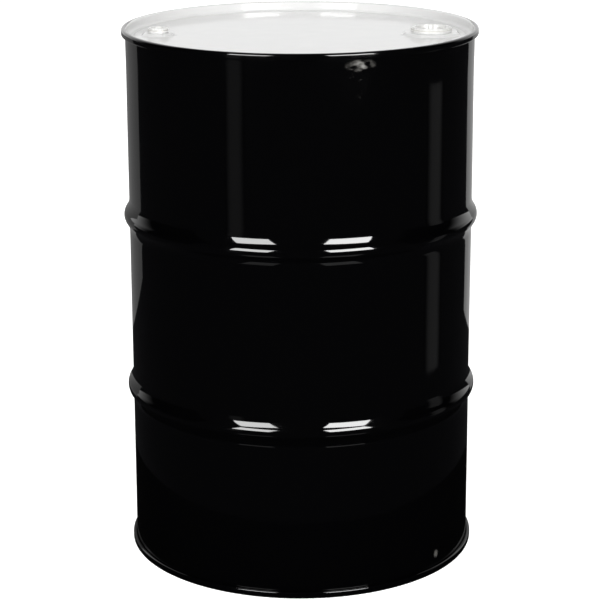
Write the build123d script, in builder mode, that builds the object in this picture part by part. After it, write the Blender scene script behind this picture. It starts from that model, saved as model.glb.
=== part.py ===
"""A tight-head steel drum of the 200 litre class, with a bung and a vent in its top head.

Millimetres. The origin is the centre of the ring that the drum stands on, +Z is up the drum's axis,
and the two fittings lie on the X axis: the bung at +X and the vent at -X.
"""

from build123d import *
from dataclasses import dataclass
import os

os.makedirs("parts", exist_ok=True)

# The drum as a whole
height = 889.0
inside_diameter = 571.5
sheet = 1.2

# The rolled seam that joins a head to the body: seven layers of sheet, counted from the inside
layer_step = 1.26
seam_height = 11.5
seam_roll = 3.0
seam_bottom_roll = 1.96
tight_roll = 0.7
body_tail_gap = 4.7
head_tail_gap = 3.9

# The rolling hoops
hoop_heights = (281.0, 577.0)
hoop_corner_rise = 12.1
hoop_corner_half_width = 17.1
hoop_crown_roll = 14.0
hoop_foot_roll = 34.0

# The panel of a head, measured down from the top of the seam
panel_depth = 14.8
groove_depth = 16.2
panel_radius = 271.0
groove_radius = 275.0
panel_roll = 4.0
groove_roll = 3.0
countersink_roll = 6.0

# Heights of a fitting, stacked up from the panel
seat_rise = 4.0
seat_slope = 1.25
collar_rise = 2.45
neck_rise = 3.7
curl_thickness = 1.2
lip_height = 1.1
plug_gasket_thickness = 1.2
plug_flange_thickness = 1.7
plug_crown_thickness = 1.2
flange_base_thickness = 2.6
flange_gasket_thickness = 1.5
flange_gasket_width = 2.7
neck_below_base = 5.9
plug_shank_length = 13.1
plug_floor = 3.2
neck_wall = 1.5
lip_thickness = 1.1
lip_rounding = 0.9
crown_rounding = 0.5
mouth_gap = 0.3
plug_gasket_inset = 0.4
lug_root = 0.5
fit_gap = 0.1

# Threads: half widths of a ridge at its root and its crest, as shares of the pitch, how deep its root
# is sunk in the wall that it stands on, and the plain length above the inside thread
outside_shares = (0.43, 0.108)
inside_shares = (0.37, 0.10)
ridge_root_depth = 0.3
mouth_depth = 1.9


@dataclass
class Fitting:
    """The sizes that tell the bung from the vent. Radii are from the fitting's own axis."""

    name: str
    x: float
    pitch: float
    bore: float
    thread_root: float
    plug_core: float
    plug_crest: float
    crown: float
    recess: float
    lugs: int
    lug_width: float
    lug_length: float
    seat_flats: float
    base_flats: float
    plug_turns: float


bung = Fitting(
    name="bung", x=216.0, pitch=2.309, bore=28.45, thread_root=30.05, plug_core=28.2,
    plug_crest=29.75, crown=30.8, recess=24.8, lugs=4, lug_width=8.0, lug_length=5.0,
    seat_flats=84.0, base_flats=82.0, plug_turns=4.2,
)
vent = Fitting(
    name="vent", x=-233.0, pitch=1.814, bore=12.2, thread_root=13.4, plug_core=11.95,
    plug_crest=13.15, crown=15.5, recess=9.4, lugs=2, lug_width=4.0, lug_length=3.0,
    seat_flats=44.0, base_flats=42.0, plug_turns=5.0,
)

# Heights worked out from the ones above
panel_top = height - panel_depth
groove_top = height - groove_depth
seat_top = panel_top + seat_rise
seat_under = seat_top - sheet
neck_top = seat_top + neck_rise
plug_flange_bottom = neck_top + plug_gasket_thickness
plug_flange_top = plug_flange_bottom + plug_flange_thickness
plug_top = plug_flange_top + plug_crown_thickness
flange_base_bottom = seat_under - flange_base_thickness
neck_bottom = flange_base_bottom - neck_below_base
plug_bottom = plug_flange_bottom - plug_shank_length

# The sloping side of a seat is the same sheet, so its inner face stands in by this much
slope_inset = sheet * (1 + seat_slope**2) ** 0.5


def layer(number):
    """Middle radius of a layer of the seam. Layer 2 is the wall of the body."""
    return (inside_diameter + sheet) / 2 + (number - 2) * layer_step


def seam_top(number):
    """Middle height of a turn at the top of the seam, counted from the outside."""
    return height - sheet / 2 - number * layer_step


def seam_low(number):
    """Middle height of a turn at the foot of the seam, counted from the outside."""
    return height - seam_height + sheet / 2 + number * layer_step


def flipped(points):
    """The same outline at the other end of the drum."""
    return [(radius, height - z) for radius, z in points]


def sheet_section(points, rolls):
    """Section of an even sheet whose middle line runs through the points, rounded at each one.

    Its square ends stand half a sheet past the first and the last point.
    """
    with BuildSketch(Plane.XZ) as section:
        with BuildLine():
            FilletPolyline(*points, radius=rolls)
            offset(amount=sheet / 2, side=Side.BOTH, kind=Kind.TANGENT)
        make_face()
    return section.sketch


def octagon(fitting, across_flats, z, hole=0):
    """An octagon about a fitting's axis, with flats that face along X and Y."""
    with BuildSketch(Plane((fitting.x, 0, z))) as shape:
        RegularPolygon(across_flats / 2, side_count=8, major_radius=False, rotation=22.5)
        if hole:
            Circle(hole, mode=Mode.SUBTRACT)
    return shape.sketch


def ring(fitting, inner, outer, low, high):
    """A plain ring about a fitting's axis."""
    with BuildPart() as shape:
        with BuildSketch(Plane((fitting.x, 0, low))):
            Circle(outer)
            Circle(inner, mode=Mode.SUBTRACT)
        extrude(amount=high - low)
    return shape.part


def neck_radius(fitting):
    """Outer radius of a flange's neck."""
    return fitting.thread_root + neck_wall


def collar_radius(fitting):
    """Outer radius of the collar that the head draws up around a neck."""
    return neck_radius(fitting) + fit_gap + sheet


def lip_radius(fitting):
    """Outer radius of the lip that a neck curls down over the collar."""
    return collar_radius(fitting) + fit_gap + lip_thickness


def plug_flange_radius(fitting):
    """Radius of the plug's flange, a little inside the lip."""
    return lip_radius(fitting) - 0.3


def upright_plane(fitting, z):
    """The plane of a fitting's section: across is +X from its axis, and up is +Z."""
    return Plane(origin=(fitting.x, 0, z), x_dir=(1, 0, 0), z_dir=(0, -1, 0))


def thread(fitting, low, turns, root, crest, shares):
    """A right-hand helical ridge between its root radius and its crest radius."""
    root_half = shares[0] * fitting.pitch
    crest_half = shares[1] * fitting.pitch
    with BuildPart() as ridge:
        with BuildLine() as path:
            Helix(fitting.pitch, fitting.pitch * turns, fitting.plug_core, (fitting.x, 0, low))
        with BuildSketch(upright_plane(fitting, low)):
            with BuildLine():
                Polyline(
                    (root, -root_half), (crest, -crest_half), (crest, crest_half), (root, root_half),
                    close=True,
                )
            make_face()
        sweep(path=path.line, is_frenet=True)
    return ridge.part


# Middle lines of the two sheets where they roll together at the top of the drum
body_hook = [
    (layer(2), seam_top(1)),
    (layer(6), seam_top(1)),
    (layer(6), seam_low(1)),
    (layer(4), seam_low(1)),
    (layer(4), height - body_tail_gap),
]
body_hook_rolls = [seam_roll - layer_step, seam_roll - layer_step, tight_roll, tight_roll]
head_hook = [
    (layer(1), seam_top(0)),
    (layer(7), seam_top(0)),
    (layer(7), seam_low(0)),
    (layer(3), seam_low(0)),
    (layer(3), seam_top(2)),
    (layer(5), seam_top(2)),
    (layer(5), height - seam_height + head_tail_gap),
]
head_hook_rolls = [seam_roll, seam_roll, seam_bottom_roll, seam_bottom_roll, tight_roll, tight_roll]

# Body shell: a rolled tube with two hoops, hooked outwards at both ends
hoops = []
for z in hoop_heights:
    hoops.append((layer(2), z - hoop_corner_half_width))
    hoops.append((layer(2) + hoop_corner_rise, z))
    hoops.append((layer(2), z + hoop_corner_half_width))
hoop_rolls = [hoop_foot_roll, hoop_crown_roll, hoop_foot_roll] * len(hoop_heights)
body_line = flipped(body_hook)[::-1] + hoops + body_hook
body_rolls = body_hook_rolls[::-1] + hoop_rolls + body_hook_rolls
with BuildPart() as body_shell:
    revolve(sheet_section(body_line, body_rolls), axis=Axis.Z)
body_shell.part.label = "body_shell"
export_step(body_shell.part, "parts/body_shell.step")

# Both heads: a flat panel, a shallow groove around it, a countersink wall and the hook of the seam
head_line = [
    (sheet / 2, panel_top - sheet / 2),
    (panel_radius, panel_top - sheet / 2),
    (groove_radius, groove_top - sheet / 2),
    (layer(1), groove_top - sheet / 2),
] + head_hook
head_rolls = [panel_roll, groove_roll, countersink_roll] + head_hook_rolls

with BuildPart() as top_head:
    revolve(sheet_section(head_line, head_rolls), axis=Axis.Z)
    for fitting in (bung, vent):
        spread = 2 * seat_slope * seat_rise
        inside = 2 * slope_inset
        under = seat_under - (panel_top - sheet)
        under_flats = fitting.seat_flats + 2 * seat_slope * sheet - inside
        # the raised octagonal seat, hollow below
        loft([octagon(fitting, fitting.seat_flats + spread, panel_top),
              octagon(fitting, fitting.seat_flats, seat_top)])
        loft([octagon(fitting, under_flats + 2 * seat_slope * under, panel_top - sheet),
              octagon(fitting, under_flats, seat_under)], mode=Mode.SUBTRACT)
        # the collar drawn up around the neck
        add(ring(fitting, neck_radius(fitting) + fit_gap, collar_radius(fitting), seat_under,
                 seat_top + collar_rise))
        with BuildSketch(Plane((fitting.x, 0, groove_top))):
            Circle(neck_radius(fitting) + fit_gap)
        extrude(amount=height - groove_top, mode=Mode.SUBTRACT)
top_head.part.label = "top_head"
export_step(top_head.part, "parts/top_head.step")

with BuildPart() as bottom_head:
    revolve(sheet_section(flipped(head_line), head_rolls), axis=Axis.Z)
bottom_head.part.label = "bottom_head"
export_step(bottom_head.part, "parts/bottom_head.step")

# Sealing compound: a ring in the pocket between the end of the head's hook and the turn of the body
pocket_low = seam_low(1) + sheet / 2 + fit_gap / 2
pocket_high = height - seam_height + head_tail_gap - sheet / 2 - fit_gap / 2
pocket_middle = (pocket_low + pocket_high) / 2
for name, z in (("top_seam_compound", pocket_middle), ("bottom_seam_compound", height - pocket_middle)):
    with BuildPart() as seam_compound:
        with BuildSketch(Plane.XZ):
            with Locations((layer(5), z)):
                Rectangle(sheet, pocket_high - pocket_low)
        revolve(axis=Axis.Z)
    seam_compound.part.label = name
    export_step(seam_compound.part, f"parts/{name}.step")

for fitting in (bung, vent):
    neck = neck_radius(fitting)
    lip = lip_radius(fitting)
    plug_flange = plug_flange_radius(fitting)
    axis = Axis((fitting.x, 0, 0), (0, 0, 1))
    mouth = fitting.thread_root + mouth_gap
    lip_bottom = neck_top - curl_thickness - lip_height
    inside_turns = (neck_top - mouth_depth - plug_bottom) / fitting.pitch

    # Flange: an octagonal base under the head, and a threaded neck curled over the collar
    with BuildPart() as flange:
        with BuildSketch(upright_plane(fitting, 0)):
            with BuildLine():
                Polyline(
                    (fitting.thread_root, neck_bottom),
                    (neck, neck_bottom),
                    (neck, neck_top - curl_thickness),
                    (collar_radius(fitting) + fit_gap, neck_top - curl_thickness),
                    (collar_radius(fitting) + fit_gap, lip_bottom),
                    (lip, lip_bottom),
                    (lip, neck_top),
                    (fitting.thread_root, neck_top),
                    close=True,
                )
            make_face()
        revolve(axis=axis)
        top_circles = flange.edges().filter_by(GeomType.CIRCLE).group_by(Axis.Z)[-1]
        fillet(top_circles.sort_by(SortBy.RADIUS)[-1], lip_rounding)
        extrude(octagon(fitting, fitting.base_flats, flange_base_bottom, hole=neck - neck_wall / 2),
                amount=flange_base_thickness)
        add(ring(fitting, neck, neck + flange_gasket_width, seat_under - flange_gasket_thickness,
                 seat_under), mode=Mode.SUBTRACT)
        # its ridge starts half a pitch below the plug's, so each runs midway between the other's turns
        add(thread(fitting, plug_bottom, inside_turns, fitting.thread_root + ridge_root_depth,
                   fitting.bore, inside_shares))
    flange.part.label = f"{fitting.name}_flange"
    export_step(flange.part, f"parts/{fitting.name}_flange.step")

    # Flange gasket: sits in the groove of the base and seals under the head
    with BuildPart() as flange_gasket:
        add(ring(fitting, neck + fit_gap / 2, neck + flange_gasket_width - fit_gap / 2,
                 seat_under - flange_gasket_thickness, seat_under))
    flange_gasket.part.label = f"{fitting.name}_flange_gasket"
    export_step(flange_gasket.part, f"parts/{fitting.name}_flange_gasket.step")

    # Plug: a cup with a flange and a crown, lugs for the wrench and an outside thread
    with BuildPart() as plug:
        with BuildSketch(upright_plane(fitting, 0)):
            with BuildLine():
                Polyline(
                    (0, plug_bottom),
                    (fitting.plug_core, plug_bottom),
                    (fitting.plug_core, plug_flange_bottom),
                    (plug_flange, plug_flange_bottom),
                    (plug_flange, plug_flange_top),
                    (fitting.crown, plug_flange_top),
                    (fitting.crown, plug_top),
                    (fitting.recess, plug_top),
                    (fitting.recess, plug_bottom + plug_floor),
                    (0, plug_bottom + plug_floor),
                    close=True,
                )
            make_face()
        revolve(axis=axis)
        fillet(plug.edges().filter_by(GeomType.CIRCLE).group_by(Axis.Z)[-1], crown_rounding)
        with BuildSketch(Plane((fitting.x, 0, plug_bottom + plug_floor / 2))):
            with PolarLocations(fitting.recess + (lug_root - fitting.lug_length) / 2, fitting.lugs):
                Rectangle(fitting.lug_length + lug_root, fitting.lug_width)
        extrude(amount=plug_flange_top - plug_bottom - plug_floor)
        add(thread(fitting, plug_bottom + fitting.pitch / 2, fitting.plug_turns,
                   fitting.plug_core - ridge_root_depth, fitting.plug_crest, outside_shares))
    plug.part.label = f"{fitting.name}_plug"
    export_step(plug.part, f"parts/{fitting.name}_plug.step")

    # Plug gasket: a flat ring pressed between the plug's flange and the top of the neck
    with BuildPart() as plug_gasket:
        add(ring(fitting, mouth + fit_gap, plug_flange - plug_gasket_inset, neck_top,
                 plug_flange_bottom))
    plug_gasket.part.label = f"{fitting.name}_plug_gasket"
    export_step(plug_gasket.part, f"parts/{fitting.name}_plug_gasket.step")
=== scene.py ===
"""The looks of a tight-head steel drum: rolled and painted sheet, moulded plugs and a pale studio.

Shapes are worked out in millimetres, as on a workshop drawing, and become metres where a mesh is made.
Angles run from +X towards +Y about the drum's axis, and the camera stands on the -Y side.
"""

import math
import random

import bmesh
import bpy
import numpy as np
from mathutils import Matrix, Vector
from mathutils.geometry import delaunay_2d_cdt


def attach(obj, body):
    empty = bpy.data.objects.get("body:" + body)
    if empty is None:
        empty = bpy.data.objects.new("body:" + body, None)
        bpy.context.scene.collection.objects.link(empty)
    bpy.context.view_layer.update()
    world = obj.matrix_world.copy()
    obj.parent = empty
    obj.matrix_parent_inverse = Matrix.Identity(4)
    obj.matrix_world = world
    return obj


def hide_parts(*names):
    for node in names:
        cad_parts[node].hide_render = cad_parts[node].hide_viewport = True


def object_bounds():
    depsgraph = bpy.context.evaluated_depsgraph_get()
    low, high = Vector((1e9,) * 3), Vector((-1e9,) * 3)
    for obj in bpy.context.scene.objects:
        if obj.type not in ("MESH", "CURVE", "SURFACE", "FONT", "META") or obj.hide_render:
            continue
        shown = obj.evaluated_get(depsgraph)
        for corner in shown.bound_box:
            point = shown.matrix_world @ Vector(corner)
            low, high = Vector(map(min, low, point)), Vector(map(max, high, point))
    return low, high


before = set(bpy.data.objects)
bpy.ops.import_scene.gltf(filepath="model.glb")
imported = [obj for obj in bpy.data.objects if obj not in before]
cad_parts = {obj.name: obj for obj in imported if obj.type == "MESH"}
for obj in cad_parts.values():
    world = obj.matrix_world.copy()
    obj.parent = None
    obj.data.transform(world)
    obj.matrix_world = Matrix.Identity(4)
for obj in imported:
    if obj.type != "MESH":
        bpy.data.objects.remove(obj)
cad_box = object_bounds()

MM = 0.001

# Sheet and seam of the drum
SHEET = 1.2
LAYER_STEP = 1.26
INSIDE_RADIUS = 285.75
HEIGHT = cad_box[1].z / MM
SEAM_HEIGHT = 11.5
PANEL_TOP = HEIGHT - 14.8
GROOVE_TOP = HEIGHT - 16.2
PANEL_RADIUS = 271.0
GROOVE_RADIUS = 275.0
HOOP_HEIGHTS = (281.0, 577.0)
# Half width and rise of a hoop's three corners, and the radii of its foot, crown and foot
HOOP_CORNER = (17.1, 12.1)
HOOP_ROLLS = (34.0, 14.0, 34.0)

# Seats, plugs and their heights, up from the panel
SEAT_TOP = PANEL_TOP + 4.0
SEAT_SPREAD = 5.0
SEAT_APRON = 2.0
COLLAR_TOP = SEAT_TOP + 2.45
NECK_TOP = SEAT_TOP + 3.7
PLUG_FLANGE_BOTTOM = NECK_TOP + 1.2
PLUG_FLANGE_TOP = PLUG_FLANGE_BOTTOM + 1.7
PLUG_TOP = PLUG_FLANGE_TOP + 1.2
PLUG_BOTTOM = PLUG_FLANGE_BOTTOM - 13.1
PLUG_FLOOR = PLUG_BOTTOM + 3.2
NECK_WALL = 1.5
FIT_GAP = 0.1

RING_STEPS = 360
FITTING_STEPS = 240

FITTINGS = {
    "bung": dict(
        x=216.0, pitch=2.309, root=30.05, core=28.2, crest=29.75, crown=30.8, recess=24.8, flange=33.75,
        lugs=4, lug_width=8.0, lug_length=5.0, flats=84.0, turns=4.2,
    ),
    "vent": dict(
        x=-233.0, pitch=1.814, root=13.4, core=11.95, crest=13.15, crown=15.5, recess=9.4, flange=17.1,
        lugs=2, lug_width=4.0, lug_length=3.0, flats=44.0, turns=5.0,
    ),
}


# ---------------------------------------------------------------- shapes

def rounded_line(points, rolls, arc_steps=8, run_step=None):
    """Points of a line with rounded corners, and the unit vectors to its right, as two arrays."""
    points = [np.array(p, float) for p in points]
    places, rights = [], []

    def put(place, along):
        places.append(place)
        rights.append((along[1], -along[0]))

    start = points[0]
    for before, corner, after, roll in zip(points, points[1:], points[2:], rolls):
        way_in = (corner - before) / np.linalg.norm(corner - before)
        way_out = (after - corner) / np.linalg.norm(after - corner)
        side = np.sign(way_in[0] * way_out[1] - way_in[1] * way_out[0])
        turn = math.acos(float(np.clip(way_in @ way_out, -1, 1)))
        reach = roll * math.tan(turn / 2)
        enter = corner - way_in * reach
        add_run(put, start, enter, way_in, run_step)
        centre = enter + side * roll * np.array((-way_in[1], way_in[0]))
        for step in range(arc_steps + 1):
            bend = side * turn * step / arc_steps
            along = np.array((way_in[0] * math.cos(bend) - way_in[1] * math.sin(bend),
                              way_in[0] * math.sin(bend) + way_in[1] * math.cos(bend)))
            put(centre + side * roll * np.array((along[1], -along[0])), along)
        start = corner + way_out * reach
    last_way = (points[-1] - points[-2]) / np.linalg.norm(points[-1] - points[-2])
    add_run(put, start, points[-1], last_way, run_step)
    put(points[-1], last_way)
    return np.array(places), np.array(rights)


def add_run(put, start, end, along, run_step):
    """Puts the start of a straight run and, where run_step is given, even points inside it."""
    length = float(np.linalg.norm(end - start))
    count = 1 if run_step is None else max(1, math.ceil(length / run_step))
    for step in range(count):
        if step or length > 1e-3:
            put(start + (end - start) * step / count, along)


def sheet_outline(points, rolls, **steps):
    """Outline of an even sheet about a middle line: down its right side, round the end and back."""
    middle, right = rounded_line(points, rolls, **steps)
    last_way = np.array((-right[-1][1], right[-1][0]))
    middle[-1] += last_way * SHEET / 2
    return np.concatenate((middle + right * SHEET / 2, (middle - right * SHEET / 2)[::-1]))


def layer(number):
    """Middle radius of a layer of the rolled seam. Layer 2 is the wall of the body."""
    return INSIDE_RADIUS + SHEET / 2 + (number - 2) * LAYER_STEP


def seam_top(number):
    """Middle height of a turn at the top of the seam, counted from the outside."""
    return HEIGHT - SHEET / 2 - number * LAYER_STEP


def seam_low(number):
    """Middle height of a turn at the foot of the seam, counted from the outside."""
    return HEIGHT - SEAM_HEIGHT + SHEET / 2 + number * LAYER_STEP


def flipped(points):
    """The same line at the other end of the drum."""
    return [(radius, HEIGHT - z) for radius, z in points]


def octagon_reach(angles, apothem, corner):
    """Distance from the axis to a rounded octagon with flats along X and Y, at each angle."""
    half = math.pi / 8
    from_corner = np.abs((angles % (math.pi / 4)) - half)
    centre = (apothem - corner) / math.cos(half)
    switch = math.atan2(corner * math.sin(half), centre + corner * math.cos(half))
    flat = apothem / np.cos(half - from_corner)
    inside = np.clip(corner**2 - (centre * np.sin(from_corner)) ** 2, 0, None)
    arc = centre * np.cos(from_corner) + np.sqrt(inside)
    return np.where(from_corner < switch, arc, flat)


class Mesh:
    """Patches of one mesh, in millimetres, welded where their edges meet."""

    def __init__(self):
        self.points = []
        self.faces = []

    def add_points(self, points):
        first = len(self.points)
        self.points.extend(map(tuple, points))
        return first

    def rings(self, radii, heights, angles, x=0.0, joined=False):
        """Rows of rings about an upright axis at x, with a radius and a height at every angle."""
        radii, heights, _ = np.broadcast_arrays(radii, heights, angles)
        rows, steps = radii.shape
        across = x + radii * np.cos(angles)
        deep = radii * np.sin(angles)
        first = self.add_points(np.stack((across, deep, heights), axis=-1).reshape(-1, 3))
        for row in range(rows if joined else rows - 1):
            here = first + row * steps
            there = first + (row + 1) % rows * steps
            for step in range(steps):
                after = (step + 1) % steps
                self.faces.append((here + step, here + after, there + after, there + step))

    def tip(self, radius, height, angles, x):
        """A flat disc that closes a ring, as a fan about its middle."""
        edge = ring_loop(radius, angles)
        first = self.add_points([(x + across, deep, height) for across, deep in edge])
        centre = self.add_points([(x, 0.0, height)])
        steps = len(angles)
        for step in range(steps):
            self.faces.append((first + step, first + (step + 1) % steps, centre))

    def flat(self, height, outer, holes, spacing=26.0):
        """A level sheet of even triangles inside the outer loop and outside the holes."""
        loops = [outer] + holes
        flat_points = [tuple(p) for loop in loops for p in loop]
        edges = []
        first = 0
        for loop in loops:
            edges += [(first + i, first + (i + 1) % len(loop)) for i in range(len(loop))]
            first += len(loop)
        limit = max(abs(p[0]) for p in outer) - spacing / 2
        row_gap = spacing * 0.866
        most = 12
        for row in range(-most, most + 1):
            for column in range(-most, most + 1):
                place = ((column + row % 2 / 2) * spacing, row * row_gap)
                near_hole = any(near_loop(place, hole, spacing / 2) for hole in holes)
                if math.hypot(*place) < limit and not near_hole:
                    flat_points.append(place)
        result = delaunay_2d_cdt([Vector(p) for p in flat_points], edges, [], 0, 1e-4)
        made = self.add_points([(p.x, p.y, height) for p in result[0]])
        for triangle in result[2]:
            middle = sum((result[0][i] for i in triangle), Vector((0, 0))) / len(triangle)
            if not any(inside_loop(middle, hole) for hole in holes):
                self.faces.append(tuple(made + i for i in triangle))

    def piece(self, name, material, sharp=35.0):
        """The mesh as an object in metres, with hard edges where it turns by more than sharp degrees."""
        mesh = bpy.data.meshes.new(name)
        mesh.from_pydata([(x * MM, y * MM, z * MM) for x, y, z in self.points], [], self.faces)
        work = bmesh.new()
        work.from_mesh(mesh)
        bmesh.ops.remove_doubles(work, verts=work.verts, dist=0.002 * MM)
        bmesh.ops.recalc_face_normals(work, faces=work.faces)
        work.to_mesh(mesh)
        work.free()
        mesh.shade_smooth()
        mesh.set_sharp_from_angle(angle=math.radians(sharp))
        mesh.materials.append(material)
        piece = bpy.data.objects.new(name, mesh)
        bpy.context.scene.collection.objects.link(piece)
        return piece


def loop_centre(loop):
    """Middle of a loop and its largest reach from there."""
    centre = np.mean(np.array(loop), axis=0)
    return centre, max(math.dist(centre, p) for p in loop)


def near_loop(place, loop, margin):
    """Whether a place is inside a loop or within the margin of it."""
    centre, reach = loop_centre(loop)
    return math.dist(centre, place) < reach + margin


def inside_loop(place, loop):
    """Whether a place is inside a closed loop."""
    inside = False
    for a, b in zip(loop, loop[1:] + loop[:1]):
        if (a[1] > place[1]) != (b[1] > place[1]):
            if place[0] < a[0] + (b[0] - a[0]) * (place[1] - a[1]) / (b[1] - a[1]):
                inside = not inside
    return inside


def even_angles(steps):
    return np.arange(steps) * 2 * math.pi / steps


def place_piece(piece, body, slot, *nodes):
    """Rides the piece on its body, in place of its CAD nodes."""
    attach(piece, body)
    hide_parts(*nodes)
    return piece


# ---------------------------------------------------------------- the sheet metal

def body_wave(angles, heights, seed=7):
    """Shift of the rolled wall from its true radius: long inward waves that die out at the seams."""
    draw = random.Random(seed)
    wave = np.zeros(np.broadcast(angles, heights).shape)
    for lobes in (2, 3, 5, 7, 9, 12):
        length = draw.uniform(350.0, 900.0)
        phase = draw.uniform(0, 2 * math.pi)
        lean = draw.choice((-1, 1))
        size = 0.22 / lobes**0.9
        wave = wave + size * np.cos(lobes * angles + lean * 2 * math.pi * heights / length + phase)
    mean_inset = 0.30
    still_end = 22.0
    fade_length = 60.0
    from_end = np.minimum(heights - still_end, HEIGHT - still_end - heights)
    fade = np.clip(from_end / fade_length, 0, 1)
    return (wave - mean_inset) * fade * fade * (3 - 2 * fade)


def weld_bead(angles, heights):
    """The flat mash weld down the back of the wall, planished away on the hoops and in the seams."""
    rise, half_width, ripple_pitch = 0.16, 1.9, 2.6
    hoop_reach, clear_end, fade_length = 22.0, 16.0, 10.0
    across = (angles - math.pi / 2) * (INSIDE_RADIUS + SHEET)
    bead = rise / (1 + (across / half_width) ** 6)
    ripple = 1 + 0.25 * np.sin(heights * 2 * math.pi / ripple_pitch)
    near_hoop = sum(np.exp(-((heights - z) / hoop_reach) ** 4) for z in HOOP_HEIGHTS)
    from_end = np.minimum(heights - clear_end, HEIGHT - clear_end - heights)
    fade = np.clip(from_end / fade_length, 0, 1)
    return bead * ripple * fade * (1 - np.clip(near_hoop, 0, 1))


def make_body(material):
    hook = [
        (layer(2), seam_top(1)),
        (layer(6), seam_top(1)),
        (layer(6), seam_low(1)),
        (layer(4), seam_low(1)),
        (layer(4), HEIGHT - 4.7),
    ]
    hook_rolls = [1.74, 1.74, 0.7, 0.7]
    hoops = []
    for z in HOOP_HEIGHTS:
        for rise, up in ((0, -1), (HOOP_CORNER[1], 0), (0, 1)):
            hoops.append((layer(2) + rise, z + up * HOOP_CORNER[0]))
    line = flipped(hook)[::-1] + hoops + hook
    rolls = hook_rolls[::-1] + list(HOOP_ROLLS) * 2 + hook_rolls
    middle, right = rounded_line(line, rolls, arc_steps=10, run_step=9.0)
    middle[0, 1] += SHEET / 2
    middle[-1, 1] -= SHEET / 2
    half_weld = np.array((0.5, 1.0, 1.6, 2.2, 3.0, 4.2, 6.0))
    weld_steps = np.concatenate((-half_weld, half_weld))
    weld_angles = math.pi / 2 + weld_steps / INSIDE_RADIUS
    angles = np.sort(np.concatenate((even_angles(RING_STEPS), weld_angles)))
    outline = np.concatenate((middle + right * SHEET / 2, (middle - right * SHEET / 2)[::-1]))
    heights = np.concatenate((middle, middle[::-1]))[:, 1:]
    shift = body_wave(angles, heights) + weld_bead(angles, heights)
    shell = Mesh()
    shell.rings(outline[:, :1] + shift, outline[:, 1:], angles, joined=True)
    return place_piece(shell.piece("drum_body", material), "drum", "body_enamel", "body_shell")


def head_line():
    """Middle line of a head from its panel to the end of its hook, and the rolls of its corners."""
    line = [
        (PANEL_RADIUS - 2.0, PANEL_TOP - SHEET / 2),
        (PANEL_RADIUS, PANEL_TOP - SHEET / 2),
        (GROOVE_RADIUS, GROOVE_TOP - SHEET / 2),
        (layer(1), GROOVE_TOP - SHEET / 2),
        (layer(1), seam_top(0)),
        (layer(7), seam_top(0)),
        (layer(7), seam_low(0)),
        (layer(3), seam_low(0)),
        (layer(3), seam_top(2)),
        (layer(5), seam_top(2)),
        (layer(5), HEIGHT - SEAM_HEIGHT + 3.9),
    ]
    return line, [4.0, 3.0, 6.0, 3.0, 3.0, 1.96, 1.96, 0.7, 0.7]


def ring_loop(radius, angles):
    return [(radius * math.cos(a), radius * math.sin(a)) for a in angles]


def add_seat(head, fitting):
    """One raised octagonal seat with a collar drawn up around the neck. Returns its outer loop."""
    angles = even_angles(FITTING_STEPS)
    collar = fitting["root"] + NECK_WALL + FIT_GAP + SHEET / 2
    foot = octagon_reach(angles, fitting["flats"] / 2 + SEAT_SPREAD, fitting["flats"] * 0.13)
    brow = octagon_reach(angles, fitting["flats"] / 2, fitting["flats"] * 0.11)
    level = PANEL_TOP - SHEET / 2
    seat_level = SEAT_TOP - SHEET / 2
    columns = []
    for low, high in zip(foot, brow):
        line = [
            (low + SEAT_APRON, level),
            (low, level),
            (high, seat_level),
            (collar, seat_level),
            (collar, COLLAR_TOP - SHEET / 2),
        ]
        columns.append(sheet_outline(line, [2.4, 2.0, 1.5], arc_steps=6))
    columns = np.array(columns)
    head.rings(columns[:, :, 0].T, columns[:, :, 1].T, angles, x=fitting["x"])
    apron = foot + SEAT_APRON
    return [(fitting["x"] + reach * math.cos(a), reach * math.sin(a)) for reach, a in zip(apron, angles)]


def make_head(name, body, slot, node, material, top):
    line, rolls = head_line()
    if not top:
        line = flipped(line)
    outline = sheet_outline(line, rolls, arc_steps=10)
    angles = even_angles(RING_STEPS)
    head = Mesh()
    head.rings(outline[:, :1], outline[:, 1:], angles)
    loops = [add_seat(head, fitting) for fitting in FITTINGS.values()] if top else []
    rim = ring_loop(line[0][0], angles)
    head.flat(line[0][1] + SHEET / 2, rim, loops)
    head.flat(line[0][1] - SHEET / 2, rim, loops)
    return place_piece(head.piece(name, material), body, slot, node)


# ---------------------------------------------------------------- the plugs

def thread_radius(fitting, angles, heights):
    """Radius of the plug's shank with its right-hand ridge, at each angle and height."""
    pitch = fitting["pitch"]
    root_half, crest_half = 0.43 * pitch, 0.108 * pitch
    sunk = fitting["core"] - 0.3
    rise = heights - (PLUG_BOTTOM + pitch / 2) - pitch * angles / (2 * math.pi)
    turn = np.clip(np.round(rise / pitch), 0, None)
    ends = (turn + angles / (2 * math.pi)) <= fitting["turns"]
    share = np.clip((root_half - np.abs(rise - turn * pitch)) / (root_half - crest_half), 0, 1)
    ridge = sunk + share * (fitting["crest"] - sunk)
    return np.where(ends, np.maximum(ridge, fitting["core"]), fitting["core"])


def lug_reach(fitting, angles):
    """Inner radius of the recess: its wall, drawn in at each wrench lug."""
    spacing = 2 * math.pi / fitting["lugs"]
    from_lug = np.abs((angles + spacing / 2) % spacing - spacing / 2)
    half = fitting["lug_width"] / 2 / (fitting["recess"] - fitting["lug_length"] / 2)
    side_slope = 0.07
    ledge_width = 0.35
    blend = np.clip((half + side_slope / 2 - from_lug) / side_slope, 0, 1)
    blend = blend * blend * (3 - 2 * blend)
    return fitting["recess"] - ledge_width - blend * (fitting["lug_length"] - ledge_width)


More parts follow.
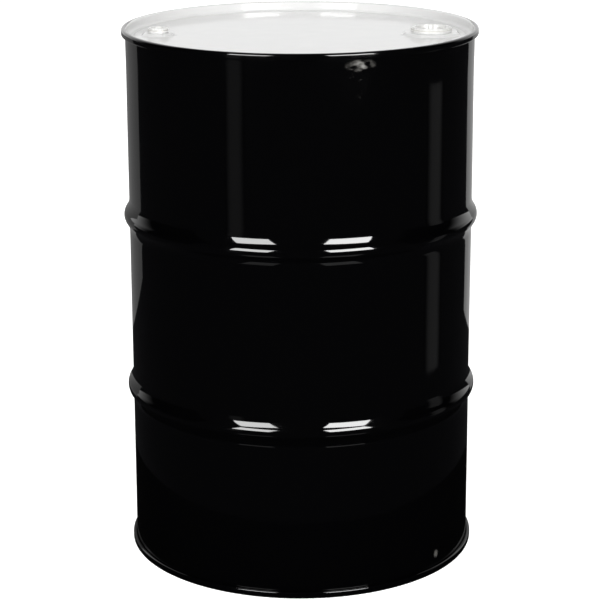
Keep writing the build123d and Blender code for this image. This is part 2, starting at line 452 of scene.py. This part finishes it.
def make_plug(name, fitting, material):
    angles = even_angles(FITTING_STEPS)
    lug = lug_reach(fitting, angles)
    ones = np.ones(FITTING_STEPS)
    flange, crown, recess = fitting["flange"], fitting["crown"], fitting["recess"]
    rows = []

    def row(radius, height):
        rows.append((radius * ones, height * ones))

    def round_edge(radius, height, roll, side, start, end, steps=5):
        """A rounded edge about a point at radius and height, from start to end in degrees."""
        for step in range(steps + 1):
            turn = math.radians(start + (end - start) * step / steps)
            row(radius + side * roll * math.cos(turn), height + roll * math.sin(turn))

    bottom_radius = fitting["core"] - 0.8
    row(bottom_radius, PLUG_BOTTOM)
    row(fitting["core"] - 0.3, PLUG_BOTTOM + 0.15)
    shank_low, shank_high = PLUG_BOTTOM + 0.5, PLUG_FLANGE_BOTTOM - 0.25
    for height in np.arange(shank_low, shank_high, 0.16):
        rows.append((thread_radius(fitting, angles, height), height * ones))
    row(fitting["core"], shank_high)
    row(fitting["core"] + 0.25, PLUG_FLANGE_BOTTOM)
    round_edge(flange - 0.5, PLUG_FLANGE_BOTTOM + 0.5, 0.5, 1, -90, 0)
    round_edge(flange - 0.7, PLUG_FLANGE_TOP - 0.7, 0.7, 1, 0, 90)
    row(crown + 0.45, PLUG_FLANGE_TOP)
    row(crown + 0.12, PLUG_FLANGE_TOP + 0.12)
    round_edge(crown - 0.5, PLUG_TOP - 0.5, 0.5, 1, 0, 90)
    round_edge(recess + 0.5, PLUG_TOP - 0.5, 0.5, -1, 90, 0)
    row(recess, PLUG_FLANGE_TOP + 0.1)
    ledge = PLUG_FLANGE_TOP
    rows.append((np.minimum(lug + 0.30, recess - 0.02), ledge * ones))
    rows.append((lug + 0.09, (ledge - 0.09) * ones))
    rows.append((lug, (ledge - 0.30) * ones))
    rows.append((lug, (PLUG_FLOOR + 0.6) * ones))
    rows.append((lug - 0.18, (PLUG_FLOOR + 0.18) * ones))
    rows.append((lug - 0.6, PLUG_FLOOR * ones))
    inner = recess - fitting["lug_length"] - 1.5
    row(inner, PLUG_FLOOR)
    # moulded rings on the floor of the recess
    for share in (0.86, 0.60):
        middle = inner * share
        for offset, lift in ((0.9, 0.0), (0.5, 0.45), (0.0, 0.6), (-0.5, 0.45), (-0.9, 0.0)):
            row(middle + offset, PLUG_FLOOR + lift)
    # the mark of the mould's gate in the middle of the floor
    gate_radius, gate_top = 1.3, PLUG_FLOOR + 0.25
    row(gate_radius + 0.3, PLUG_FLOOR)
    row(gate_radius, gate_top)
    plug = Mesh()
    radii, heights = np.array(rows).transpose(1, 0, 2)
    plug.rings(radii, heights, angles, x=fitting["x"])
    plug.tip(gate_radius, gate_top, angles, fitting["x"])
    plug.tip(bottom_radius, PLUG_BOTTOM, angles, fitting["x"])
    piece = plug.piece(f"{name}_plug_moulding", material)
    return place_piece(piece, f"{name}_plug", "plug_plastic", f"{name}_plug")


# ---------------------------------------------------------------- materials

class Shader:
    """A material with one Principled shader, and short ways to add nodes to it."""

    def __init__(self, name, **settings):
        self.material = bpy.data.materials.new(name)
        self.material.use_nodes = True
        self.tree = self.material.node_tree
        self.tree.nodes.clear()
        output = self.node("ShaderNodeOutputMaterial")
        self.main = self.node("ShaderNodeBsdfPrincipled")
        self.link(self.main.outputs["BSDF"], output.inputs["Surface"])
        for socket, value in settings.items():
            self.main.inputs[socket.replace("_", " ")].default_value = value
        self.place = self.node("ShaderNodeTexCoord").outputs["Object"]

    def node(self, kind, **settings):
        made = self.tree.nodes.new(kind)
        for key, value in settings.items():
            setattr(made, key, value)
        return made

    def link(self, source, target):
        self.tree.links.new(source, target)

    def feed(self, socket, source):
        self.link(source, self.main.inputs[socket])

    def noise(self, size, detail=2.0, rough=0.5, stretch=(1, 1, 1)):
        """Noise whose features are about that many millimetres across."""
        scaled = self.node("ShaderNodeMapping")
        scaled.inputs["Scale"].default_value = stretch
        self.link(self.place, scaled.inputs["Vector"])
        made = self.node("ShaderNodeTexNoise")
        made.inputs["Scale"].default_value = 1 / (size * MM)
        made.inputs["Detail"].default_value = detail
        made.inputs["Roughness"].default_value = rough
        self.link(scaled.outputs["Vector"], made.inputs["Vector"])
        return made.outputs["Fac"]

    def cells(self, size):
        made = self.node("ShaderNodeTexVoronoi")
        made.inputs["Scale"].default_value = 1 / (size * MM)
        self.link(self.place, made.inputs["Vector"])
        return made

    def math(self, operation, first, second=0.0, clamp=False):
        made = self.node("ShaderNodeMath", operation=operation, use_clamp=clamp)
        for socket, value in zip(made.inputs, (first, second)):
            if isinstance(value, (int, float)):
                socket.default_value = value
            else:
                self.link(value, socket)
        return made.outputs[0]

    def product(self, *factors):
        """Factors multiplied in their order, each a socket or a number."""
        result = factors[0]
        for factor in factors[1:]:
            result = self.math("MULTIPLY", result, factor)
        return result

    def spread(self, value, low, high, to_low=0.0, to_high=1.0):
        """Maps low..high of a value smoothly to to_low..to_high."""
        made = self.node("ShaderNodeMapRange", interpolation_type="SMOOTHSTEP")
        for socket, number in zip(made.inputs[1:5], (low, high, to_low, to_high)):
            socket.default_value = number
        self.link(value, made.inputs["Value"])
        return made.outputs["Result"]

    def mix(self, share, first, second):
        """Colour between two colours, each a socket or three numbers."""
        made = self.node("ShaderNodeMix", data_type="RGBA")
        self.link(share, made.inputs["Factor"])
        for letter, value in (("A", first), ("B", second)):
            socket = colour_socket(made.inputs, letter)
            if isinstance(value, tuple):
                socket.default_value = (*value, 1.0)
            else:
                self.link(value, socket)
        return colour_socket(made.outputs, "Result")

    def bump(self, height, depth, before=None):
        """Relief from a height of 0 to 1, depth millimetres deep."""
        made = self.node("ShaderNodeBump")
        made.inputs["Distance"].default_value = depth * MM
        self.link(height, made.inputs["Height"])
        if before is not None:
            self.link(before, made.inputs["Normal"])
        return made.outputs["Normal"]

    def axis(self, letter):
        made = self.node("ShaderNodeSeparateXYZ")
        self.link(self.place, made.inputs["Vector"])
        return made.outputs[letter]

    def radius(self):
        """Distance from the drum's axis."""
        across = self.product(self.axis("X"), self.axis("X"))
        deep = self.product(self.axis("Y"), self.axis("Y"))
        return self.math("SQRT", self.math("ADD", across, deep))

    def blob(self, centre, size):
        """1 at a place and 0 beyond size from it, each of three numbers in metres."""
        moved = self.node("ShaderNodeVectorMath", operation="SUBTRACT")
        self.link(self.place, moved.inputs[0])
        moved.inputs[1].default_value = centre
        scaled = self.node("ShaderNodeVectorMath", operation="DIVIDE")
        self.link(moved.outputs[0], scaled.inputs[0])
        scaled.inputs[1].default_value = size
        length = self.node("ShaderNodeVectorMath", operation="LENGTH")
        self.link(scaled.outputs[0], length.inputs[0])
        return self.spread(length.outputs["Value"], 0.2, 1.0, 1.0, 0.0)


def colour_socket(sockets, name):
    """The colour socket of a Mix node with that name, which sockets of other types share."""
    return next(s for s in sockets if s.name == name and s.type == "RGBA")


BLACK = (0.0005, 0.0005, 0.0006)
# grey of the dust, and of the painted reflection of the right front lamp, on the black enamel
DUST_AND_REFLECTION_GREY = (0.30, 0.29, 0.27)
STEEL = (0.42, 0.41, 0.40)
HEAD_SPECK = (0.45, 0.44, 0.42)
# grey of the painted shade at the seats' feet on the white head
PAINTED_SHADE_GREY = (0.26, 0.26, 0.26)

# The darkest and the lightest tone of each uneven colour
HEAD_WHITES = ((0.745, 0.747, 0.745), (0.785, 0.782, 0.773))
LIP_WHITES = ((0.76, 0.757, 0.745), (0.80, 0.796, 0.785))
PLASTIC_WHITES = ((0.74, 0.737, 0.722), (0.78, 0.776, 0.76))
ZINC_GREYS = ((0.50, 0.51, 0.52), (0.66, 0.67, 0.68))
RUBBER_TONES = ((0.55, 0.54, 0.50), (0.66, 0.65, 0.61))
COMPOUND_TONES = ((0.16, 0.16, 0.15), (0.22, 0.21, 0.20))


def on_wall(azimuth, height):
    """A place on the wall, with azimuth in degrees from the front towards +X, in metres."""
    turn = math.radians(azimuth)
    radius = (INSIDE_RADIUS + SHEET) * MM
    return (radius * math.sin(turn), -radius * math.cos(turn), height)


def enamel_relief(shader, depth=0.0045):
    """Orange peel of sprayed enamel over long soft waves."""
    peel = shader.bump(shader.noise(3.2, detail=1.5), depth)
    return shader.bump(shader.noise(38.0, detail=1.0), 0.05, before=peel)


def dirt_and_reflection_on_enamel(shader):
    """How dirty the black enamel is, and where light is painted on it: dust in patches, a painted
    reflection of the right front lamp as a hazy smear with a trail, and a chip.
    """
    dust = shader.spread(shader.noise(1.1, detail=3.0), 0.70, 0.78)
    patch = shader.spread(shader.noise(90.0), 0.50, 0.70)
    dirt_and_reflection = shader.product(dust, patch, 0.10)
    # painted reflection: a hazy pale smear near the top of the wall, where the right front lamp's low
    # edge shows in the enamel
    painted_reflection = shader.blob(on_wall(18.8, 0.868), (0.030, 0.020, 0.012))
    cloud = shader.spread(shader.noise(17.0, detail=2.0, stretch=(1, 1, 1.8)), 0.42, 0.70)
    dirt_and_reflection = shader.math("ADD", dirt_and_reflection, shader.product(painted_reflection, cloud, 0.45))
    trail = shader.blob(on_wall(17.5, 0.842), (0.035, 0.03, 0.045))
    specks = shader.spread(shader.noise(2.2, detail=2.0), 0.66, 0.72)
    dirt_and_reflection = shader.math("ADD", dirt_and_reflection, shader.product(trail, specks, 0.06))
    chip = shader.blob(on_wall(51.2, 0.031), (0.0075, 0.0075, 0.009))
    return shader.math("ADD", dirt_and_reflection, shader.product(chip, 0.22), clamp=True)


def black_enamel(name, scuffed=False):
    """Black gloss enamel with dust and a painted reflection of the right front lamp, worn through to the
    steel in scratches at the drum's foot where scuffed.
    """
    shader = Shader(name, IOR=1.5, Roughness=0.06)
    dirt_and_reflection = dirt_and_reflection_on_enamel(shader)
    # the black carries dust, a chip and the painted reflection of the right front lamp
    colour = shader.mix(dirt_and_reflection, BLACK, DUST_AND_REFLECTION_GREY)
    if scuffed:
        foot = shader.spread(shader.axis("Z"), 0.0002, 0.0022, 1.0, 0.0)
        scratch = shader.spread(shader.noise(2.5, detail=4.0, rough=0.7), 0.50, 0.60)
        worn = shader.product(foot, scratch)
        colour = shader.mix(worn, colour, STEEL)
        shader.feed("Metallic", worn)
    shader.feed("Base Color", colour)
    streaks = shader.noise(28.0, detail=3.0, stretch=(1, 1, 0.35))
    smear = shader.spread(streaks, 0.35, 0.75, 0.035, 0.075)
    shader.feed("Roughness", shader.math("ADD", smear, shader.product(dirt_and_reflection, 0.5)))
    shader.feed("Normal", enamel_relief(shader))
    return shader.material


def white_head_enamel(name):
    """White enamel inside the rim, and the wall's black on the seam.

    A grey patch of painted shade darkens the white at each seat's foot on the side towards the head's
    middle, and the white reaches further out over the top of the seam towards the back.
    """
    shader = Shader(name, IOR=1.5, Roughness=0.16)
    uneven = shader.product(shader.math("SUBTRACT", shader.noise(6.0, detail=3.0), 0.5), 0.0016)
    edge = shader.math("ADD", shader.radius(), uneven)
    # the black edge moves out by up to 5 mm towards the back (+Y), so the white covers more of the
    # seam's top there
    back_reach = shader.spread(shader.axis("Y"), 0.0, 0.15, 0.0, 0.005)
    black = shader.spread(shader.math("SUBTRACT", edge, back_reach), 0.2848, 0.2862)
    tone = shader.mix(shader.noise(70.0, detail=3.0), *HEAD_WHITES)
    specks = shader.spread(shader.noise(1.6, detail=2.0), 0.735, 0.775)
    tone = shader.mix(shader.product(specks, 0.25), tone, HEAD_SPECK)
    # painted shade: a grey patch at the foot of each seat, on the side towards the head's middle
    for fitting, side in (("bung", -1), ("vent", 1)):
        seat = FITTINGS[fitting]
        foot = seat["x"] + side * (seat["flats"] / 2 + SEAT_SPREAD)
        corner = (foot * MM, -seat["flats"] * 0.14 * MM, SEAT_TOP * MM)
        painted_shade = shader.blob(corner, (0.008, 0.014, 0.009))
        tone = shader.mix(shader.product(painted_shade, 0.6), tone, PAINTED_SHADE_GREY)
    shader.feed("Base Color", shader.mix(black, tone, BLACK))
    shader.feed("Roughness", shader.spread(shader.noise(30.0, detail=3.0), 0.3, 0.75, 0.06, 0.14))
    shader.feed("Normal", enamel_relief(shader, depth=0.003))
    return shader.material


def moulded_plastic(name):
    """White moulded plastic, with a fine grain and a half-dull skin."""
    shader = Shader(name, IOR=1.49, Roughness=0.3)
    shader.feed("Base Color", shader.mix(shader.noise(9.0, detail=3.0), *PLASTIC_WHITES))
    shader.feed("Roughness", shader.spread(shader.noise(6.0), 0.3, 0.7, 0.22, 0.38))
    shader.feed("Normal", shader.bump(shader.noise(0.5, detail=3.0), 0.006))
    return shader.material


def flange_finish(name):
    """Zinc plate with faint spangle, under white enamel on the lip that shows above the seat."""
    shader = Shader(name, IOR=1.5, Roughness=0.3)
    paint = shader.spread(shader.axis("Z"), (SEAT_TOP + 0.2) * MM, (SEAT_TOP + 0.8) * MM)
    flake = shader.cells(4.0)
    spangle = shader.spread(flake.outputs["Color"], 0.0, 1.0, 0.25, 0.75)
    zinc = shader.mix(spangle, *ZINC_GREYS)
    enamel = shader.mix(shader.noise(12.0, detail=3.0), *LIP_WHITES)
    shader.feed("Base Color", shader.mix(paint, zinc, enamel))
    shader.feed("Metallic", shader.math("SUBTRACT", 1.0, paint))
    shader.feed("Roughness", shader.spread(shader.noise(3.0, detail=3.0), 0.3, 0.7, 0.16, 0.36))
    shader.feed("Normal", shader.bump(shader.noise(0.8, detail=2.0), 0.008))
    return shader.material


def soft_seal(name, dark, light):
    """Rubber or cured compound: dull, with a fine skin and a slightly uneven tone."""
    shader = Shader(name, IOR=1.5, Roughness=0.6)
    shader.feed("Base Color", shader.mix(shader.noise(4.0, detail=4.0), dark, light))
    shader.feed("Roughness", shader.spread(shader.noise(1.5, detail=3.0), 0.3, 0.7, 0.48, 0.72))
    shader.feed("Normal", shader.bump(shader.noise(0.35, detail=3.0), 0.02))
    return shader.material


def paint_node(node, material):
    """Gives a CAD node that stays in view its finished material."""
    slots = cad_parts[node].data.materials
    slots.clear()
    slots.append(material)


# ---------------------------------------------------------------- the studio

# Each front lamp's azimuth in degrees from the front towards +X, its radiance, and the distance from
# the axis, height, inward reach and outward reach of its face's low and high edge, in metres
FRONT_LAMPS = {
    "left": (-31.5, 15.0, (1.82, 0.78, 0.40, 0.33), (1.57, 1.45, 0.45, 0.26)),
    "right": (32.5, 20.5, (1.82, 0.78, 0.50, 0.34), (1.57, 1.45, 0.51, 0.30)),
}
FLOOR_SHEEN = 0.022
FLOOR_REACH = 40.0
FLOOR_GLOW = 0.7
PAPER_WHITES = ((0.93, 0.93, 0.93), (0.95, 0.95, 0.95))
MAT_RADIUS = 0.60
MAT_HEIGHT = 0.0005
ROOM_LIGHT = 0.40
ROOM_IN_GLOSS = (0.014, 0.014, 0.015, 1)
PURE_WHITE = (1, 1, 1, 1)


def plain_emitter(name, strength):
    material = bpy.data.materials.new(name)
    material.use_nodes = True
    tree = material.node_tree
    tree.nodes.clear()
    glow = tree.nodes.new("ShaderNodeEmission")
    glow.inputs["Strength"].default_value = strength
    output = tree.nodes.new("ShaderNodeOutputMaterial")
    tree.links.new(glow.outputs[0], output.inputs["Surface"])
    return material


def card(name, corners, strength, faces=None):
    """A board of the studio that only reflections show, as one face unless its faces are given."""
    mesh = bpy.data.meshes.new(name)
    mesh.from_pydata(corners, [], faces or [tuple(range(len(corners)))])
    mesh.materials.append(plain_emitter(name, strength))
    board = bpy.data.objects.new(name, mesh)
    bpy.context.scene.collection.objects.link(board)
    board.visible_camera = False
    board.visible_diffuse = False
    board.visible_transmission = False
    board.visible_shadow = False
    return board


def upright_card(name, left, right, low, high, strength):
    """A board that stands between two places on the floor plan."""
    card(name, [(*left, low), (*right, low), (*right, high), (*left, high)], strength)


def fade_glow(tree, value, dark, bright, strength):
    """Lets a board's glow rise smoothly from nothing, where the value is dark, to its strength."""
    fade = tree.nodes.new("ShaderNodeMapRange")
    fade.interpolation_type = "SMOOTHSTEP"
    for socket, number in zip(fade.inputs[1:5], (dark, bright, 0.0, strength)):
        socket.default_value = number
    glow = next(node for node in tree.nodes if node.type == "EMISSION")
    tree.links.new(value, fade.inputs["Value"])
    tree.links.new(fade.outputs["Result"], glow.inputs["Strength"])


def soft_stand(name, place, reach, low, high, strength):
    """An upright strip of pale cloth with soft edges, facing the drum."""
    across = Vector((-place[1], place[0])).normalized() * reach
    left, right = Vector(place) - across, Vector(place) + across
    stand = card(name, [(*left, low), (*right, low), (*right, high), (*left, high)], strength)
    tree = stand.data.materials[0].node_tree
    here = tree.nodes.new("ShaderNodeTexCoord")
    middle = tree.nodes.new("ShaderNodeVectorMath")
    middle.operation = "SUBTRACT"
    middle.inputs[1].default_value = (*place, 0)
    flat = tree.nodes.new("ShaderNodeVectorMath")
    flat.operation = "MULTIPLY"
    flat.inputs[1].default_value = (1, 1, 0)
    length = tree.nodes.new("ShaderNodeVectorMath")
    length.operation = "LENGTH"
    tree.links.new(here.outputs["Object"], middle.inputs[0])
    tree.links.new(middle.outputs[0], flat.inputs[0])
    tree.links.new(flat.outputs[0], length.inputs[0])
    fade_glow(tree, length.outputs["Value"], reach, reach * 0.3, strength)


def back_curtain(radius=5.0, low=0.3, high=6.0, strength=1.1):
    """A pale wall that curves round the back of the studio and fades to dark at its sides."""
    steps = 44
    first_angle, sweep = -20.0, 220.0
    corners = []
    for step in range(steps + 1):
        turn = math.radians(first_angle + sweep * step / steps)
        for height in (low, high):
            corners.append((radius * math.cos(turn), radius * math.sin(turn), height))
    faces = [(2 * i, 2 * i + 2, 2 * i + 3, 2 * i + 1) for i in range(steps)]
    curtain = card("back_curtain", corners, strength, faces)
    tree = curtain.data.materials[0].node_tree
    place = tree.nodes.new("ShaderNodeTexCoord")
    split = tree.nodes.new("ShaderNodeSeparateXYZ")
    tree.links.new(place.outputs["Object"], split.inputs["Vector"])
    fade_glow(tree, split.outputs["Y"], 0.35 * radius, 0.80 * radius, strength)


def lamp_face(name, azimuth, low, high, radiance, mirrored=False):
    """The bright face of a front lamp, as reflections show it, or its image in a polished floor.

    Its low and high edges each have a distance from the axis, a height and a reach inwards and
    outwards, since the faces lean.
    """
    turn = math.radians(azimuth)
    inwards = -math.copysign(1, azimuth)
    corners = []
    for (distance, height, inner, outer), order in ((low, 1), (high, -1)):
        for reach in (inner, -outer)[::order]:
            across = reach * inwards
            corners.append((distance * math.sin(turn) + across * math.cos(turn),
                            -distance * math.cos(turn) + across * math.sin(turn),
                            -height if mirrored else height))
    card(name, corners, radiance)


def soft_lamp(name, azimuth, distance, height, width, tall, radiance, aim):
    """A wide soft lamp that lights the drum without showing in its enamel."""
    turn = math.radians(azimuth)
    place = Vector((distance * math.sin(turn), -distance * math.cos(turn), height))
    light = bpy.data.lights.new(name, "AREA")
    light.shape = "RECTANGLE"
    light.size = width
    light.size_y = tall
    light.energy = radiance * math.pi * width * tall
    holder = bpy.data.objects.new(name, light)
    holder.location = place
    holder.rotation_euler = (Vector((0, 0, aim)) - place).to_track_quat("-Z", "Y").to_euler()
    holder.visible_camera = False
    holder.visible_glossy = False
    bpy.context.scene.collection.objects.link(holder)


def make_floor():
    """A wide sheet of glowing white paper, which reflections don't show."""
    reach = FLOOR_REACH
    corners = [(-reach, -reach, 0), (reach, -reach, 0), (reach, reach, 0), (-reach, reach, 0)]
    floor_mesh = bpy.data.meshes.new("floor")
    floor_mesh.from_pydata(corners, [], [(0, 1, 2, 3)])
    paper = Shader("studio_paper", Roughness=0.9)
    paper.main.inputs["Specular IOR Level"].default_value = 0.0
    paper.main.inputs["Emission Color"].default_value = PURE_WHITE
    paper.main.inputs["Emission Strength"].default_value = FLOOR_GLOW
    paper.feed("Base Color", paper.mix(paper.noise(400.0, detail=2.0), *PAPER_WHITES))
    floor_mesh.materials.append(paper.material)
    floor = bpy.data.objects.new("floor", floor_mesh)
    floor.visible_glossy = False
    bpy.context.scene.collection.objects.link(floor)


def make_lamps():
    """The faces that show in the enamel, and the soft lamps that light it without showing."""
    for side, (azimuth, radiance, low, high) in FRONT_LAMPS.items():
        lamp_face(f"lamp_{side}", azimuth, low, high, radiance)
        sheen = radiance * FLOOR_SHEEN
        lamp_face(f"lamp_{side}_in_floor", azimuth, low, high, sheen, mirrored=True)
    soft_lamp("front_lamp", azimuth=0.0, distance=4.0, height=1.6, width=4.0, tall=2.5,
              radiance=7.0, aim=0.88)
    soft_lamp("roof_lamp", azimuth=0.0, distance=0.01, height=3.4, width=5.0, tall=5.0,
              radiance=0.25, aim=0.356)
    soft_lamp("back_lamp", azimuth=180.0, distance=5.0, height=3.0, width=6.0, tall=3.0,
              radiance=1.2, aim=0.0)


def make_boards():
    """The pale and dark boards around the drum, which only its enamel shows."""
    upright_card("backdrop_left", left=(-1.55, 1.1), right=(-0.1, 1.25), low=0.0, high=0.76,
                 strength=0.23)
    upright_card("backdrop_right", left=(0.1, 1.25), right=(1.10, 1.1), low=0.0, high=0.76,
                 strength=0.5)
    back_curtain()
    mat_edge = ring_loop(MAT_RADIUS, even_angles(48))
    card("mat", [(x, y, MAT_HEIGHT) for x, y in mat_edge], strength=0.003)
    soft_stand("stand_left", place=(-1.20, -1.45), reach=0.22, low=0.16, high=0.70, strength=0.12)
    soft_stand("stand_right", place=(1.29, -0.01), reach=0.19, low=0.0, high=0.62, strength=0.15)


def make_room():
    """The light around everything: white behind the drum, soft on it and dark in its reflections."""
    world = bpy.data.worlds.new("studio")
    bpy.context.scene.world = world
    world.use_nodes = True
    tree = world.node_tree
    tree.nodes.clear()
    path = tree.nodes.new("ShaderNodeLightPath")
    room = tree.nodes.new("ShaderNodeBackground")
    room.inputs["Strength"].default_value = ROOM_LIGHT
    dark = tree.nodes.new("ShaderNodeBackground")
    dark.inputs["Color"].default_value = ROOM_IN_GLOSS
    bright = tree.nodes.new("ShaderNodeBackground")
    bright.inputs["Strength"].default_value = 1.0
    for shade in (room, bright):
        shade.inputs["Color"].default_value = PURE_WHITE
    gloss = tree.nodes.new("ShaderNodeMixShader")
    seen = tree.nodes.new("ShaderNodeMixShader")
    output = tree.nodes.new("ShaderNodeOutputWorld")
    tree.links.new(path.outputs["Is Glossy Ray"], gloss.inputs[0])
    tree.links.new(room.outputs[0], gloss.inputs[1])
    tree.links.new(dark.outputs[0], gloss.inputs[2])
    tree.links.new(path.outputs["Is Camera Ray"], seen.inputs[0])
    tree.links.new(gloss.outputs[0], seen.inputs[1])
    tree.links.new(bright.outputs[0], seen.inputs[2])
    tree.links.new(seen.outputs[0], output.inputs["Surface"])


def make_camera():
    """The photograph's view: a long lens in front of the drum, above it and looking down."""
    distance, height, pitch, roll = 3.3578, 1.3898, 0.26288, -0.00332
    picture_width = 600
    focal_length, shift_across, shift_up = 2052.88, -0.684, -38.0
    data = bpy.data.cameras.new("camera")
    data.sensor_width = 36.0
    data.lens = focal_length / picture_width * data.sensor_width
    data.shift_x = shift_across / picture_width
    data.shift_y = shift_up / picture_width
    data.clip_end = 200.0
    camera = bpy.data.objects.new("camera", data)
    camera.location = (0, -distance, height)
    tilt = Matrix.Rotation(math.pi / 2 - pitch, 3, "X") @ Matrix.Rotation(roll, 3, "Z")
    camera.rotation_euler = tilt.to_euler()
    bpy.context.scene.collection.objects.link(camera)
    bpy.context.scene.camera = camera


# ---------------------------------------------------------------- the drum

body_black = black_enamel("body_enamel")
base_black = black_enamel("base_enamel", scuffed=True)
head_white = white_head_enamel("head_enamel")
plastic = moulded_plastic("plug_plastic")
flange_skin = flange_finish("flange_zinc")
rubber = soft_seal("gasket_rubber", *RUBBER_TONES)
compound = soft_seal("seam_compound", *COMPOUND_TONES)

make_body(body_black)
make_head("top_panel", "drum", "head_enamel", "top_head", head_white, top=True)
make_head("bottom_panel", "drum", "base_enamel", "bottom_head", base_black, top=False)
for fitting_name, sizes in FITTINGS.items():
    make_plug(fitting_name, sizes, plastic)
    paint_node(f"{fitting_name}_flange", flange_skin)
    paint_node(f"{fitting_name}_flange_gasket", rubber)
    paint_node(f"{fitting_name}_plug_gasket", rubber)
for end in ("top", "bottom"):
    paint_node(f"{end}_seam_compound", compound)

bpy.context.scene.view_settings.view_transform = "Standard"
make_floor()
make_lamps()
make_boards()
make_room()
make_camera()
